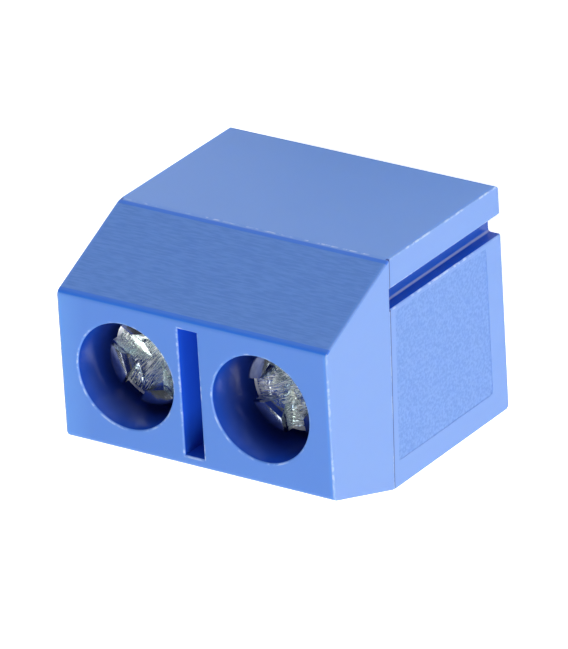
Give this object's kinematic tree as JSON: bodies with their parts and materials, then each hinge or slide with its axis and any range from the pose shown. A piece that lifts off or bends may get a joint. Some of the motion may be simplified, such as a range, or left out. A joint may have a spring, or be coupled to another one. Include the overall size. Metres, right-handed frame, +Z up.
{
  "type": "pcb screw terminal",
  "caption": "Blue board terminal block: wires enter at the front, screws in the top lift cages that clamp them, solder pins below.",
  "frame": {"origin": "on the board plane, midway between the two solder pins and under the line through the screw axes", "axes": "+Z up from the board along the screw axes, -Y towards the side where the wires enter, +X to the right seen from that side"},
  "size_m": [0.0106, 0.0077, 0.0129],
  "materials": {
    "blue_nylon": "moulded blue nylon with a fine satin grain",
    "zinc_steel": "bright zinc plate with handling marks",
    "nickel_brass": "nickel plated, folded strip",
    "tinned_brass": "dull tin plate over stamped brass"
  },
  "bodies": {
    "housing": {"housing": "blue_nylon", "terminal_left": "tinned_brass", "terminal_right": "tinned_brass"},
    "screw_left": {"screw_left": "zinc_steel"},
    "screw_right": {"screw_right": "zinc_steel"},
    "cage_left": {"cage_left": "nickel_brass"},
    "cage_right": {"cage_right": "nickel_brass"}
  },
  "joints": [
    {"name": "screw_left_turn", "type": "hinge", "parent": "housing", "child": "screw_left", "pos_m": [-0.00254, 0, 0.008], "axis": [0, 0, 1], "range_deg": [-1360, 0]},
    {"name": "cage_left_lift", "type": "slide", "parent": "housing", "child": "cage_left", "axis": [0, 0, 1], "range_m": [0, 0.0017]},
    {"name": "screw_right_turn", "type": "hinge", "parent": "housing", "child": "screw_right", "pos_m": [0.00254, 0, 0.008], "axis": [0, 0, 1], "range_deg": [-1360, 0]},
    {"name": "cage_right_lift", "type": "slide", "parent": "housing", "child": "cage_right", "axis": [0, 0, 1], "range_m": [0, 0.0017]}
  ],
  "couplings": [
    {"joint": "screw_left_turn", "follows": "cage_left_lift", "rad_per_m": -13963},
    {"joint": "screw_right_turn", "follows": "cage_right_lift", "rad_per_m": -13963}
  ]
}
